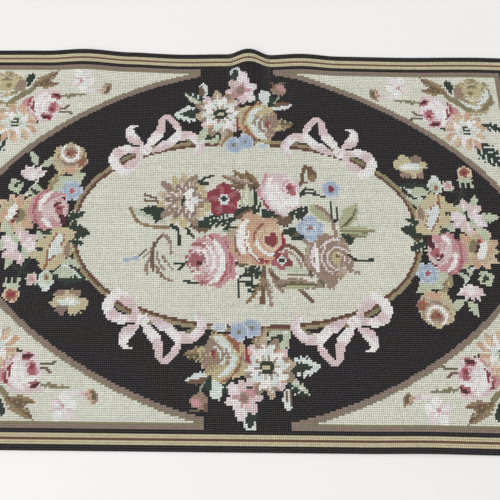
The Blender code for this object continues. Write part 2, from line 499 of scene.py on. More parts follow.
def side_bouquet(spray):
    # Leaves and curls at the outer end
    leaf(spray, -113, 35.5, 9, 5, 118, "mint", 3)
    leaf(spray, -111, 34.5, 13, 4.6, 33, "mint", 4)
    stem(spray, ((-112, 27), (-117, 20), (-121, 14)), "ice", 1.1)
    stem(spray, ((-117.5, 18.5), (-112, 18.8)), "ice", 1.1)
    blossom(spray, -123.8, 23.3, 4.4, 20, 4, ("mint", "mint", "mint"), "forest", 0.3)
    patch(spray, -122.5, 24.8, 4, 1.8, 30, "forest")
    blossom(spray, -113.0, 20.2, 4.2, 0, 4, ("mint", "mint", "mint"), "forest", 0.2)
    stem(spray, ((-115, 21.8), (-113.5, 19.6), (-111, 19.6)), "forest", 1.4)
    leaf(spray, -106, 20, 15, 7, 60, "sand", 3, "ochre", vein="straw")
    leaf(spray, -104, 19.5, 21, 12, 34, "mint", 3)
    # Tulip
    for tilt, length in ((142, 8), (115, 9), (88, 8), (60, 9), (32, 9.5)):
        leaf(spray, -115.7, 27.5, length, 4.6, tilt, "shell", 2, "white")
    patch(spray, -115.7, 29.5, 8, 5.4, 0, "lilac")
    patch(spray, -115, 30, 3, 6, -30, "white")
    # Cupped rose
    rose(spray, -95.7, 39.3, 9.7, 88, OCHRE, CUP_ROSE, 1.0, 0.42, 0.26)
    patch(spray, -88.8, 37.5, 6.5, 4, 60, "rust", 2)
    patch(spray, -95.4, 32.6, 7, 3.4, 0, "apricot", 2)
    # Peach daisy and the leaf under it
    leaf(spray, -110, 12, 12, 8, 250, "forest", 4, "mint")
    for ring in (
        (12, 20, 12, 0.2, 1.0, 0.2, ("peach", "straw", "apricot", "peach"), "fawn"),
        (8.5, 5, 9, 0.2, 1.0, 0.2, ("apricot", "straw")),
    ):
        petals(spray, -122, 7.5, *ring)
    patch(spray, -121.5, 6.8, 8.5, 8, 0, "olive", 1.5)
    patch(spray, -124.4, 8.3, 4.6, 10.5, -24, "white", 1.2)
    patch(spray, -121.5, 8.8, 2.2, 2, 0, "burgundy", 0)
    patch(spray, -122.3, 6.2, 2.4, 2.2, 0, "burgundy", 0)
    patch(spray, -123.3, 3.6, 2.4, 2, 0, "crimson", 0)
    # Pale blossom, with its stalk and leaves
    stem(spray, ((-112, -16), (-118, -24), (-119, -30)), "forest", 1.4)
    stem(spray, ((-126, -16), (-118, -23), (-108, -25)), "forest", 1.2)
    leaf(spray, -122, -13, 10, 5, 250, "mint", 3)
    leaf(spray, -124, -9, 13, 6, 186, "mint", 4)
    leaf(spray, -124, -5, 10, 5, 118, "mint", 3)
    leaf(spray, -112, -6, 9, 6, 30, "mint", 3)
    leaf(spray, -110, -12, 8, 6, -10, "mint", 3)
    for ring in (
        (11, 96, 6, 0.05, 1.0, 0.23, ("shell", "lilac", "shell"), "white", 1.0),
        (8.5, 66, 6, 0.1, 1.0, 0.2, ("shell", "mint", "lilac")),
    ):
        petals(spray, -118.6, -9.8, *ring)
    stem(spray, ((-119.3, -8), (-118.4, -12.5)), "forest", 1.5)
    # Leaves on both sides of the gold flower
    leaf(spray, -108, -2, 9, 6, 10, "forest", 3)
    leaf(spray, -110, -13, 8, 6, 40, "forest", 3)
    leaf(spray, -100, -18.5, 13, 7, -8, "mint", 4, "forest")
    leaf(spray, -101, -24.5, 18, 9, -8, "mint", 5, "forest")
    leaf(spray, -97, -19.5, 12, 5, -34, "ice", 4, "forest")
    patch(spray, -94.6, -23.6, 9.5, 5.8, -6, "mint", 2)
    patch(spray, -91, -18.6, 7.5, 4, -30, "mint", 2)
    stem(spray, ((-92.5, -19.8), (-89, -21.8), (-85.6, -25.6)), "forest", 1.4)
    leaf(spray, -95, 5, 10, 7, 24, "forest", 4, vein="mint")
    leaf(spray, -97, -0.5, 15, 10, -8, "forest", 4)
    leaf(spray, -94, -6, 9, 5, -14, "forest", 4, vein="mint")
    # Gold flower
    gold = (
        (-100.5, -12, 23, 13, 72),
        (-97.5, -4.5, 15, 9, 20),
        (-103.5, -17, 12, 10, 70),
        (-95, -11, 8, 10, 0),
        (-108.5, -15, 10, 5.5, -12),
        (-106.5, -7.5, 9, 5, 30),
        (-100, -2.5, 8, 6, 90),
    )
    for across, up, length, width, turn in gold:
        patch(spray, across, up, length, width, turn, "straw", 1.5)
    patch(spray, -94, -11.5, 3.6, 8, 0, "taupe", 1)
    patch(spray, -100.5, -9.8, 16.5, 6.6, 66, "rust", 2)
    patch(spray, -100.3, -9.6, 15.5, 4.6, 66, "ice", 1)
    patch(spray, -99, -12, 5, 4, 0, "ice", 1)
    stem(spray, ((-104.2, -16.5), (-105, -22)), "rust", 1.1)
    # White flower below it
    patch(spray, -104, -27.5, 8, 9.5, 0, "ice", 1)
    patch(spray, -103.4, -26.3, 6, 6.4, 0, "mint", 1)
    patch(spray, -104, -26.2, 2.4, 3, 0, "rust", 0)
    patch(spray, -104, -32, 3.6, 3.6, 0, "ice", 0)
    # Blue flower
    blossom(spray, -93.6, 21.2, 6.0, 0, 6, ("powder", "sky", "powder"), "deep rose", 0.24, 0.2)
    # Pink rose
    rose(spray, -105.2, 10.2, 10.8, 0, PINK, SIDE_ROSE, 1.05, 0.56, 0.2)
    patch(spray, -97.4, 5, 3.4, 6.2, 18, "burgundy", 1)
    # Small pink flower
    blossom(spray, -111, -27.4, 3.7, 60, 4, ("rose", "shell", "mint"), "rose", 0.3, 0.4)
    # Peach bud under its sepals
    for across in (-124.4, -121, -117.6):
        stem(spray, ((across, -26.8), (0.8 * across - 24.2, -30.4)), "mint", 1.4)
    patch(spray, -121, -35, 8.6, 8.6, 0, "peach", 2)
    patch(spray, -121, -30.8, 8, 3, 0, "mint", 1.5)
    patch(spray, -121, -35.6, 5.6, 5.4, 0, "rust", 2)
    patch(spray, -120.6, -35.4, 3.4, 2.6, 0, "crimson", 1)
    # Gold flower with a white heart
    for across, up, length, width, turn, yarn in (
        (-93, -35, 13, 6, 8, "straw"),
        (-88.5, -34, 6, 4.4, -20, "taupe"),
        (-96, -33.8, 5, 4, 0, "taupe"),
        (-91.6, -39, 15, 9, 0, "straw"),
        (-97.5, -39.3, 7, 5, 0, "straw"),
        (-86, -39.5, 8, 7, 0, "straw"),
        (-88.5, -42.6, 8, 5, 0, "straw"),
        (-95, -42.4, 6, 5, 20, "mauve"),
        (-91.6, -38.6, 11.5, 4, 2, "ice"),
        (-90.5, -38.2, 6, 2.6, 2, "white"),
    ):
        patch(spray, across, up, length, width, turn, yarn, 2)


def bow(spray):
    upper = (
        Bend(55.0, 48.8, 1.6, 0.3),
        Bend(58.2, 51.0, 4.6, 0.35),
        Bend(61.4, 53.6, 6.4, 0.6),
        Bend(62.6, 57.2, 4.8, 0.95),
        Bend(61.2, 60.0, 2.4, 0.95),
        Bend(58.8, 60.8, 1.2, 0.9),
    )
    tail = (
        Bend(35.2, 54.6, 6.0, 0.3),
        Bend(31.0, 55.6, 5.6, 0.35),
        Bend(27.0, 53.8, 5.6, 0.75),
        Bend(23.8, 50.4, 5.0, 0.6),
        Bend(24.4, 47.0, 4.4, 0.75),
        Bend(26.2, 43.4, 1.6, 0.4),
    )
    loop = (
        Bend(52.6, 48.0, 3.4, 0.9),
        Bend(49.8, 52.0, 5.6, 0.95),
        Bend(47.0, 55.4, 5.4, 0.85),
        Bend(45.6, 57.6, 4.4, 0.2),
        Bend(45.0, 62.6, 4.4, 0.15),
        Bend(43.6, 66.2, 2.6, 0.3),
        Bend(40.4, 65.6, 3.6, 0.2),
        Bend(37.4, 62.2, 3.8, 0.25),
        Bend(35.6, 58.6, 3.6, 0.6),
        Bend(35.8, 55.4, 4.4, 0.95),
        Bend(39.0, 52.0, 5.6, 0.9),
        Bend(43.6, 49.6, 6.0, 0.55),
        Bend(48.6, 47.0, 5.0, 0.35),
        Bend(52.0, 46.4, 3.4, 0.4),
    )
    outer = (
        Bend(54.0, 46.8, 4.0, 0.5),
        Bend(58.6, 46.6, 4.8, 0.3),
        Bend(63.4, 46.4, 5.0, 0.9),
        Bend(68.6, 44.4, 5.8, 0.3),
        Bend(70.8, 40.6, 6.0, 0.85),
        Bend(69.6, 36.8, 6.0, 0.95),
        Bend(65.2, 34.4, 6.0, 0.65),
        Bend(61.0, 37.6, 6.0, 0.25),
        Bend(57.4, 42.4, 4.8, 0.3),
        Bend(55.2, 45.4, 3.0, 0.4),
    )
    for strip in (upper, tail, outer, loop):
        ribbon(spray, strip)
    # White turn of the outer loop, and the line that shows through it
    patch(spray, 66.5, 33.6, 6, 4.6, 20, "white", 2)
    patch(spray, 63.6, 41.0, 10, 3.4, -32, "olive", 0)
    x, y = spray.around(63.6, 41.0, 1.0, -32)
    spray.work((np.abs(x) < 4.4) & (y > -1.8) & (y < -0.5), "cocoa")
    # Dark gaps, the knot and its crease
    stem(spray, ((57.2, 48.9), (61, 48.9), (64.6, 49.7)), "night", 1.1)
    stem(spray, ((41.5, 53.4), (45.5, 51.8), (48.6, 48.8)), "night", 1.2)
    patch(spray, 49.4, 48.4, 2.6, 2.2, 0, "olive", 0)
    patch(spray, 29.4, 51.6, 5, 2, 30, "olive", 0)
    patch(spray, 53.4, 46.3, 6.4, 6, 0, "white", 1.5)
    stem(spray, ((52, 45), (54.4, 47.4)), "shell", 1.0)


def centre_bouquet(spray):
    # Long leaf at the left
    leaf(spray, -42, 3, 22, 12, 158, "cream", 2, "mint")
    stem(spray, ((-41, 2), (-50, 2.5), (-57, 5), (-61, 12)), "ochre", 1.6)
    leaf(spray, -42, 11, 14, 6, 178, "forest", 3)
    leaf(spray, -45.5, 11, 7, 6, 250, "forest", 2)
    # Feathery sprigs at the left
    stem(spray, ((-43.5, -2), (-46, -4.8), (-48, -8)), "umber", 1.3)
    stem(spray, ((-48.2, -7), (-49.2, -15), (-48.4, -21)), "umber", 1.9)
    stem(spray, ((-49, -10), (-53.5, -14.5)), "taupe", 1.2)
    stem(spray, ((-50, -14), (-52, -19), (-51.6, -23.5)), "taupe", 1.3)
    fern(spray, ((-48, -18), (-44.5, -23.5), (-39, -26.6)), "umber", 1.8, 2.6, "taupe", 1.1)
    stem(spray, ((-46.5, -12), (-45.6, -17), (-43, -20.5)), "taupe", 1.2)
    stem(spray, ((-43.5, -2), (-40.8, -4.2), (-39.6, -8), (-39.2, -12)), "taupe", 1.5)
    fern(spray, ((-43.6, -13), (-41.6, -16.5), (-38.6, -20.5)), "umber", 1.1, 2.6, "taupe", 0.8)
    stem(spray, ((-52, -10), (-56.5, -14.5)), "forest", 1.3)
    stem(spray, ((-57, -15), (-63, -16)), "sky", 1.8)
    # Small dark sprigs
    leaf(spray, -26.5, 26.6, 8, 3.2, 3, "forest", 2)
    stem(spray, ((-26, 26.5), (-22, 29.6), (-16.5, 31.8)), "forest", 1.3)
    stem(spray, ((-36.5, 2), (-35.2, -2), (-35, -8)), "forest", 1.3)
    stem(spray, ((-36, 1), (-39, 3)), "forest", 2.4)
    fern(spray, ((-32, 3), (-29, -2), (-27, -3)), "forest", 1.8, 3.0)
    stem(spray, ((-37, -17.5), (-33, -17.5), (-31, -16.2)), "forest", 1.4)
    stem(spray, ((-36, -21), (-32.5, -18.5)), "forest", 1.2)
    stem(spray, ((-32, -26.6), (-27, -27.4), (-22, -27.6)), "forest", 1.3)
    # Brown fan
    for turn, length in ((176, 17), (161, 22), (145, 17), (126, 12)):
        leaf(spray, 8, 25, length, 5, turn, "umber", 5, "ochre")
    leaf(spray, 5, 27, 16, 3.4, 164, "taupe", 4, "fawn")
    stem(spray, ((6, 27), (9.5, 25), (13, 19)), "umber", 2.2)
    # Pale leaf in the middle
    leaf(spray, 2.2, 10, 17, 7.5, 92, "cream", 1, "mint")
    stem(spray, ((0, 12), (-1.2, 18), (0.6, 25.5)), "celery", 1.2)
    stem(spray, ((5.4, 25), (6, 17), (3.4, 9)), "forest", 1.8)
    fern(spray, ((3, 8), (7, 13), (9, 17)), "forest", 1.8, 4.0)
    # Brown bud
    stem(spray, ((30, 26), (31.6, 28.5), (34.5, 29)), "umber", 1.6)
    stem(spray, ((31.6, 28), (32, 33), (34.4, 38.5)), "umber", 1.9)
    patch(spray, 37, 33.4, 9.5, 5.4, 104, "umber", 1)
    patch(spray, 37.4, 31, 5, 4, 104, "ochre", 1)
    stem(spray, ((34, 29.6), (34.4, 35)), "cream", 1.4)
    # Dark sprig towards the small blue flower
    stem(spray, ((29.3, 19.7), (31, 22.5), (33.3, 25.2)), "forest", 1.4)
    stem(spray, ((30.5, 21), (34, 22.4), (38.5, 22.8)), "forest", 1.4)
    stem(spray, ((38, 21.8), (40.6, 21.8)), "forest", 1.2)
    stem(spray, ((41.4, 20.9), (43.6, 20.9)), "forest", 1.2)
    stem(spray, ((34, 24.2), (37.3, 24.2)), "forest", 1.1)
    # Leaves at the right
    leaf(spray, 35.5, 16, 14, 8, -44, "celery", 2)
    stem(spray, ((38.5, 15), (43, 12.5), (46.5, 7), (48, -2)), "taupe", 2.0)
    stem(spray, ((46.6, 9), (46.4, 17)), "forest", 1.5)
    stem(spray, ((48, 7), (49.6, 9), (49.4, 14)), "forest", 1.5)
    leaf(spray, 50.5, 2.5, 18.5, 9, 54, "celery", 2)
    stem(spray, ((51.5, 3), (57, 8.5), (60, 14)), "moss", 1.1)
    leaf(spray, 50, 2, 20, 5, 0, "celery", 2, "olive")
    leaf(spray, 50, 0, 17, 3, -3, "celery", 3, "olive")
    leaf(spray, 48.4, -4.8, 10, 7.5, 14, "forest", 3)
    # Leaves between the flowers
    leaf(spray, -5, 7, 22, 8, 186, "forest", 7, vein="mint")
    leaf(spray, -7, 12, 14, 8, 200, "forest", 6, vein="ice")
    leaf(spray, -6, 8, 12, 8, 30, "forest", 4, "umber")
    leaf(spray, -18, 2, 12, 6, 176, "umber", 4, "forest")
    leaf(spray, -12, 1, 8, 4, 10, "forest", 3, "sage")
    leaf(spray, 12, 12, 14, 9, -38, "forest", 5, vein="sage")
    leaf(spray, 9, 8, 10, 7, 40, "forest", 4)
    leaf(spray, 20, 7, 13, 9, 48, "forest", 4)
    leaf(spray, 20, 4, 9, 9, 74, "umber", 1)
    leaf(spray, 26, 12, 9, 6, 14, "forest", 4, vein="ice")
    leaf(spray, 27, 8, 8, 5, 30, "forest", 4)
    leaf(spray, 19, 0, 16, 6, 8, "forest", 4)
    leaf(spray, 24, -3, 12, 5, 20, "moss", 3, "forest")
    leaf(spray, -7, -10, 8, 5, 60, "forest", 3)
    leaf(spray, -6, -17, 9, 5, 5, "forest", 3, "moss")
    leaf(spray, -1, -20, 12, 8, -15, "forest", 4, vein="sage")
    # Stalks and sprays below
    stem(spray, ((2, -23), (-3, -23.5), (-4.5, -27), (-4.5, -34)), "forest", 1.4)
    stem(spray, ((-4, -26.5), (3, -26)), "forest", 1.2)
    stem(spray, ((0, -28), (5, -29)), "forest", 2.0)
    stem(spray, ((1, -31), (4.5, -32)), "forest", 1.6)
    stem(spray, ((9, -19), (8.5, -26), (7.5, -37)), "umber", 2.6)
    fern(spray, ((9, -24), (4, -32), (-1, -38)), "ochre", 2.0, 3.0)
    fern(spray, ((10, -25), (11, -32), (12, -39)), "taupe", 2.2, 3.2)
    stem(spray, ((12, -20), (15, -27), (18, -31)), "taupe", 2.4)
    stem(spray, ((13, -22), (19, -27), (27, -30), (33, -36)), "umber", 2.0)
    leaf(spray, 15, -26.5, 24, 7, -4, "taupe", 4, "mauve")
    leaf(spray, 17, -28.6, 20, 4, 2, "moss", 4, "celery")
    leaf(spray, 14, -20, 20, 7, -4, "mint", 3, "cream")
    stem(spray, ((22, -22.5), (34, -22.3)), "olive", 1.2)
    # Ringed rose and its stalk
    stem(spray, ((19, -6), (26, -9), (31, -15), (33.5, -23)), "umber", 2.2)
    stem(spray, ((20, -9), (26, -13), (29, -19)), "taupe", 1.1)
    leaf(spray, 35, -8, 11, 9, 100, "taupe", 3)
    rose(spray, 43, -13, 13.2, -6, BROWN, RINGED_ROSE, 1.0, 0.4, 0.2)
    patch(spray, 36.9, -14.4, 2.8, 13, 0, "white", 1)
    patch(spray, 44, -26, 7, 5, 60, "taupe", 3)
    fern(spray, ((52, -17), (56, -20), (59, -21)), "taupe", 2.4, 2.2)
    leaf(spray, 36.5, -25, 5, 3, -50, "moss", 2, "taupe")
    fern(spray, ((53.5, -11.5), (57, -14.2), (60, -14.4), (66.5, -14)), "forest", 1.1, 2.4)
    # Many-petalled flower
    for ring in (
        (15.2, 12, 14, 0.3, 1.0, 0.15, ("straw", "gold", "taupe"), "straw", 1.02),
        (13.4, 0, 15, 0.2, 1.0, 0.14, ("taupe", "fawn", "gold"), "lilac", 1.02),
        (10.5, 15, 11, 0.1, 1.0, 0.18, ("taupe", "mauve"), "lilac", 1.02),
        (6.0, 40, 8, 0.1, 1.0, 0.26, ("fawn", "taupe")),
    ):
        petals(spray, -32.5, 17.2, *ring)
    stem(spray, ((-47, 18), (-53.5, 19.8)), "umber", 1.4)
    stem(spray, ((-46, 16), (-53.5, 17)), "umber", 1.2)
    patch(spray, -30.2, 20.5, 4.6, 7, -30, "white", 1.5)
    patch(spray, -29.6, 14.2, 4.6, 7, 10, "white", 1.5)
    patch(spray, -27, 17.5, 4.6, 4, 0, "ice", 1.5)
    stem(spray, ((-32.4, 19.5), (-33.4, 15)), "forest", 1.3)
    # Crimson flower
    for ring in (
        (9.6, 92, 5, 0.1, 1.0, 0.44, ("crimson",), "deep rose"),
        (9.4, 106, 5, 0.3, 0.95, 0.10, ("deep rose",)),
    ):
        petals(spray, -11, 18.2, *ring)
    blossom(spray, -11, 18.2, 3.2, 0, 6, ("ice", "ice"), "forest", 0.5)
    # Pale rose
    rose(spray, 19.2, 22, 11.6, 22, SOFT_PINK, WHITE_ROSE, 1.1, 0.6, 0.22)
    # Blue flowers
    blossom(spray, 47.2, 25.0, 5.4, 90, 5, ("sky", "sky", "powder"), "crimson", 0.32, 0.24)
    blossom(spray, 34.5, 2.8, 7.6, 90, 4, ("sky", "powder", "sky", "powder"), "rust", 0.16, 0.34)
    # Pink rose, with white tips
    for across, up, length, width, turn in (
        (-9.5, -5.5, 9, 7, 50),
        (-7.5, -13, 8, 6, -8),
        (-9, -20.5, 10, 8, -50),
    ):
        patch(spray, across, up, length + 2, width + 1.4, turn, "white", 2)
        patch(spray, across - 1, up, length + 1, width, turn, "rose", 2)
    rose(spray, -17.8, -15.4, 13.4, 182, PINK, FULL_ROSE, 1.06, 0.58, 0.24)
    # Orange rose, with loose petals
    for across, up, length, width, turn, yarn in (
        (-6.6, -1.2, 7.5, 6, 60, "fawn"),
        (-5.2, -8.6, 8, 7.5, 40, "apricot"),
        (-1.8, -14, 8, 6.5, -20, "apricot"),
        (8, -15.8, 13, 5, 0, "apricot"),
        (3, -16.4, 6, 3, 0, "peach"),
        (1.5, 8.6, 7, 5, 30, "apricot"),
    ):
        patch(spray, across, up, length, width, turn, yarn, 2)
    rose(spray, 7.2, -4, 13.8, 0, ORANGE, PEACH_ROSE, 1.0, 0.5, 0.22)
    # Small crimson flower
    petals(spray, 18.4, -15, 5.6, -90, 5, 0.1, 1.0, 0.36, ("deep rose", "crimson"))
    blossom(spray, 18.4, -15, 2.6, 0, 4, ("ice", "ice"), "forest", 0.5)


# The oval lines of the design: where each has its middle, its reach along its two axes, and how
# square its shoulders are
Oval = namedtuple("Oval", "middle across up power")
MEDALLION = Oval((0.7, 0.6), 90.7, 50.2, 2.22)
SURROUND = Oval((1.8, 0.2), 149.9, 97.8, 1.58)
FIELD = (151.0, 98.0)  # half of the ground inside the striped border
NOTCH = 21.0  # half of the gap between two corners, where the surround meets the border
END_MIDDLE = (-1.75, 0)  # what the two end bouquets are turned about
SIDE_MIDDLE = (0.7, 0.5)

# The lines that edge the grounds, in stitches out from each oval or in from the border
MAUVE_LINE = (-1.3, 1.1)
MAUVE_AT_BORDER = 2.4
OLIVE_LINE = 0.7
MEDALLION_LINES = (("sand", 2.6), ("cocoa", 0.7), ("cream", -0.9))


def beyond(chart, oval):
    """How far each stitch lies outside the oval, in stitches, and less than zero inside it."""
    x = np.abs(chart.across - oval.middle[0]) / oval.across
    y = np.abs(chart.up - oval.middle[1]) / oval.up
    reach = (x**oval.power + y**oval.power) ** (1 / oval.power)
    slope_x = x ** (oval.power - 1) / oval.across
    slope_y = y ** (oval.power - 1) / oval.up
    steepness = np.hypot(slope_x, slope_y) / np.maximum(reach, 1e-6) ** (oval.power - 1)
    return (reach - 1) / np.maximum(steepness, 1e-6)


def work_grounds(chart):
    whole = Spray(chart, "dark ground")
    whole.work(chart.across < FAR, "night")
    out = beyond(chart, SURROUND)
    from_edge = np.minimum(FIELD[0] - np.abs(chart.across), FIELD[1] - np.abs(chart.up))
    corner = (out > MAUVE_LINE[0]) & (np.abs(chart.across - END_MIDDLE[0]) > NOTCH)
    corner &= np.abs(chart.up) > 0.6 * NOTCH
    ground = Spray(chart, "corner ground")
    ground.work(corner, "mauve")
    inner = np.minimum(out - MAUVE_LINE[1], from_edge - MAUVE_AT_BORDER)
    ground.work(corner & (inner > 0), "olive")
    ground.work(corner & (inner > OLIVE_LINE), "cream")
    middle = Spray(chart, "medallion ground")
    out = beyond(chart, MEDALLION)
    for yarn, reach in MEDALLION_LINES:
        middle.work(out < reach, yarn)


# The stripes of the border, from its inner edge outwards, in stitches
STRIPES = (("night", 2), ("straw", 2), ("cocoa", 1), ("straw", 2), ("night", 99))


def work_border(chart):
    border = Spray(chart, "border")
    out = np.maximum(np.abs(chart.across) - FIELD[0], np.abs(chart.up) - FIELD[1])
    edge = 0
    for yarn, width in STRIPES:
        border.work(out > edge, yarn)
        edge += width


def work_chart():
    """The whole design, each part over the one before it."""
    chart = Chart()
    work_grounds(chart)
    for flip_up in (False, True):
        for flip_across in (False, True):
            corner_spray(Spray(chart, "corner sprays", flip_across, flip_up))
            bow(Spray(chart, "ribbons", flip_across, flip_up))
    for flip in (False, True):
        end_bouquet(Spray(chart, "bouquets", flip, flip, END_MIDDLE))
        side_bouquet(Spray(chart, "bouquets", flip, flip, SIDE_MIDDLE))
    centre_bouquet(Spray(chart, "centre bouquet"))
    work_border(chart)
    return chart


# How the panel lies: its puckers, as in the solid, and the heights of its layers above the floor
END = LENGTH / 2
EDGE = WIDTH / 2
Pucker = namedtuple("Pucker", "along up reach_along reach_up rise push")
PUCKERS = (
    Pucker(0.015, EDGE, 0.036, 0.130, 0.0095, 0.0042),  # fold at the far edge
    Pucker(0.000, 0.060, 0.020, 0.330, 0.0012, 0.0),  # fold line
    Pucker(-0.251, EDGE, 0.070, 0.110, 0.0036, 0.0020),  # left ripple
    Pucker(-0.100, EDGE, 0.085, 0.100, 0.0, -0.0024),  # hollow beside it
    Pucker(-0.430, EDGE, 0.120, 0.120, 0.0, -0.0022),  # drawn-in left end
    Pucker(0.103, EDGE, 0.060, 0.090, 0.0022, 0.0022),  # right ripple
    Pucker(0.400, EDGE, 0.150, 0.120, 0.0020, 0.0016),  # slack right end
    Pucker(0.235, -EDGE, 0.085, 0.090, 0.0016, 0.0012),  # near edge, drawn in
    Pucker(0.450, -EDGE, 0.150, 0.120, 0.0, -0.0030),  # near right corner
)
CLOTH_GRID = (217, 145)  # how finely the cloth is looked at to find its middle
HEM = 0.022  # how far the margins of the canvas are turned under
HEM_HEIGHTS = (0.0001, 0.0006)
HEM_INSET = 0.0006
HEM_STEPS = 73
CANVAS_HEIGHTS = (0.0011, 0.0016)
CANVAS_INSET = 0.0004
CANVAS_GRID = (109, 73)


def underside(along, up):
    """Places of points of the cloth's underside before it is moved over the origin."""
    rise, push = 0 * along, 0 * along
    for p in PUCKERS:
        away = np.hypot((along - p.along) / p.reach_along, (up - p.up) / p.reach_up)
        swell = 0.5 + 0.5 * np.cos(math.pi * np.minimum(away, 1))
        rise = rise + p.rise * swell
        push = push + p.push * swell
    return np.stack((along - up * math.tan(LEAN), up + push, rise), axis=-1)


def middle_of_cloth():
    along = np.linspace(-END, END, CLOTH_GRID[0])
    up = np.linspace(-EDGE, EDGE, CLOTH_GRID[1])
    places = underside(*np.meshgrid(along, up))
    low, high = places.min(axis=(0, 1)), places.max(axis=(0, 1))
    return np.array([(low[0] + high[0]) / 2, (low[1] + high[1]) / 2, 0])


MIDDLE = middle_of_cloth()
SLOPE_STEP = 0.0001  # between the two points that a slope of the cloth is taken from


def lie(along, up, height):
    """Places of points of the cloth, height above its underside and square to it."""
    place = underside(along, up)
    slope_along = underside(along + SLOPE_STEP, up) - place
    slope_up = underside(along, up + SLOPE_STEP) - place
    normal = np.cross(slope_along, slope_up)
    normal /= np.linalg.norm(normal, axis=-1, keepdims=True)
    return place - MIDDLE + normal * np.asarray(height)[..., None]


FLAT_MARGIN = 1.02  # the flat cloth's picture is this much larger than the cloth


def build(name, places, faces, flat_places, colours=None, smooth_faces=True):
    """An object from points, faces with equal counts of corners, and the points' flat places."""
    mesh = bpy.data.meshes.new(name)
    faces = np.asarray(faces, np.int32)
    mesh.vertices.add(len(places))
    mesh.vertices.foreach_set("co", np.asarray(places, np.float32).ravel())
    mesh.loops.add(faces.size)
    mesh.loops.foreach_set("vertex_index", faces.ravel())
    mesh.polygons.add(len(faces))
    starts = np.arange(0, faces.size, faces.shape[1], dtype=np.int32)
    mesh.polygons.foreach_set("loop_start", starts)
    mesh.update(calc_edges=True)
    mesh.polygons.foreach_set("use_smooth", np.full(len(faces), smooth_faces))
    flat = mesh.uv_layers.new(name="OFBake")
    corner = np.asarray(flat_places)[faces.ravel()] / (LENGTH * FLAT_MARGIN, WIDTH * FLAT_MARGIN) + 0.5
    flat.data.foreach_set("uv", corner.astype(np.float32).ravel())
    if colours is not None:
        layer = mesh.color_attributes.new("yarn", "FLOAT_COLOR", "POINT")
        rgba = np.column_stack((colours, np.ones(len(colours))))
        layer.data.foreach_set("color", rgba.astype(np.float32).ravel())
    mesh.update()
    obj = bpy.data.objects.new(name, mesh)
    bpy.context.scene.collection.objects.link(obj)
    return obj


def linear(rgb):
    """Light from a colour as a screen gives it."""
    value = np.asarray(rgb, float) / 255
    return np.where(value <= 0.04045, value / 12.92, ((value + 0.055) / 1.055) ** 2.4)


# One stitch, from its lower left hole to its upper right one, in millimetres:
# how far along its slant, how far across it, and how high
STITCH_POINTS = (
    (-1.92, 0.0, 1.55),
    (-1.15, 1.12, 1.60),
    (-1.15, -1.12, 1.60),
    (-0.80, 0.0, 2.95),
    (0.80, 0.0, 2.95),
    (1.15, 1.12, 1.60),
    (1.15, -1.12, 1.60),
    (1.92, 0.0, 1.55),
)
STITCH_FACES = (
    (0, 2, 3),
    (0, 3, 1),
    (2, 6, 4),
    (2, 4, 3),
    (3, 4, 5),
    (3, 5, 1),
    (6, 7, 4),
    (4, 7, 5),
)
REVERSE_POINTS = ((-1.95, 0.0, 0.45), (0.0, -1.0, 0.95), (1.95, 0.0, 0.45), (0.0, 1.0, 0.95))
REVERSE_FACES = ((0, 2, 1), (0, 3, 2))
REVERSE_EDGE = 8.5  # how many stitches at each edge are hidden by the turned margins
REVERSE_SEED = 50
SLANT = math.radians(45)
SQUAT = 0.9  # how much lower than long a stitch is, because the rows lie close

# How uneven the hand work is, as the spread about its mean
SLANT_SPREAD = 0.03
PLUMP_SPREAD = 0.03
WANDER_SPREAD = 0.00005
DYE_SPREAD = 0.04
ROW_DYE_SPREAD = 0.02
ROW_DYE_SEED = 3


def stitches(name, chart, which, points, faces, seed):
    """Slanting stitches of wool wherever which is true, each in its yarn's colour."""
    rng = np.random.default_rng(seed)
    rows, _ = np.nonzero(which)
    count = len(rows)
    shape = np.array(points) / 1000
    slant = SLANT + rng.normal(0, SLANT_SPREAD, count)
    plump = rng.normal(1, PLUMP_SPREAD, count)
    wander = rng.normal(0, WANDER_SPREAD, (count, 2))
    u, v = shape[:, 0][None, :], shape[:, 1][None, :] * plump[:, None]
    c, s = np.cos(slant)[:, None], np.sin(slant)[:, None]
    along = chart.across[which][:, None] * STITCH + wander[:, :1] + u * c - v * s
    up = chart.up[which][:, None] * STITCH + wander[:, 1:] + SQUAT * (u * s + v * c)
    along, up = np.clip(along, -END, END), np.clip(up, -EDGE, EDGE)
    height = shape[:, 2][None, :] + 0 * along
    corners = lie(along, up, height).reshape(-1, 3)
    table = linear([YARNS[yarn] for yarn in NAMES])
    dye = 1 + DYE_SPREAD * rng.normal(0, 1, count)[:, None]
    row_shades = np.random.default_rng(ROW_DYE_SEED).normal(0, 1, ROWS)
    row_dye = 1 + ROW_DYE_SPREAD * row_shades[rows][:, None]
    tints = np.repeat(table[chart.yarn[which]] * dye * row_dye, len(points), axis=0)
    joined = np.asarray(faces)[None] + len(points) * np.arange(count)[:, None, None]
    places = np.column_stack((along.ravel(), up.ravel()))
    return build(name, corners, joined.reshape(-1, 3), places, np.clip(tints, 0, 1))


def slab(along, up, heights):
    """Points, faces and flat places of a thin closed piece over a grid of places on the cloth."""
    low, high = heights
    flat = np.column_stack((along.ravel(), up.ravel()))
    top = lie(flat[:, 0], flat[:, 1], np.full(len(flat), high))
    bottom = lie(flat[:, 0], flat[:, 1], np.full(len(flat), low))
    n = np.arange(len(flat)).reshape(along.shape)
    cells = np.stack((n[:-1, :-1], n[:-1, 1:], n[1:, 1:], n[1:, :-1]), axis=-1).reshape(-1, 4)
    rim = np.concatenate((n[0, :-1], n[:-1, -1], n[-1, :0:-1], n[:0:-1, 0]))
    onward = np.roll(rim, -1)
    below = len(flat)
    sides = np.column_stack((rim + below, onward + below, onward, rim))
    faces = np.concatenate((cells, cells[:, ::-1] + below, sides))
    return np.vstack((top, bottom)), faces, np.vstack((flat, flat))


